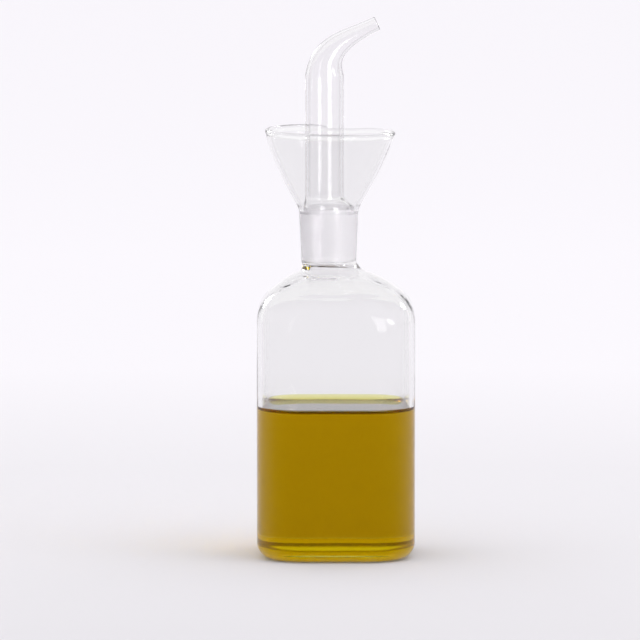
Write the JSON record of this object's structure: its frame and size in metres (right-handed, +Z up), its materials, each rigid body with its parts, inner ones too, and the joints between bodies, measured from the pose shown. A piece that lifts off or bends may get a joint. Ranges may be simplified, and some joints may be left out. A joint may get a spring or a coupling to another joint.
{
  "type": "oil and vinegar dispenser",
  "caption": "Square clear-glass oil and vinegar dispenser, part filled with olive oil, with a drip funnel drawn out of its neck and a bent tapering pouring spout in a ground joint.",
  "frame": {"origin": "centre of the base on the surface that the bottle stands on", "axes": "+Z up, +X the way the spout pours, -Y the side that faces the viewer"},
  "size_m": [0.073, 0.073, 0.249],
  "materials": {
    "bottle_glass": "clear, polished, ground matt inside the neck",
    "spout_glass": "clear, polished, ground matt on the plug",
    "olive_oil": "clear golden olive liquid"
  },
  "bodies": {
    "root": {"bottle": "bottle_glass", "pouring_spout": "spout_glass", "olive_oil": "olive_oil"}
  },
  "joints": []
}
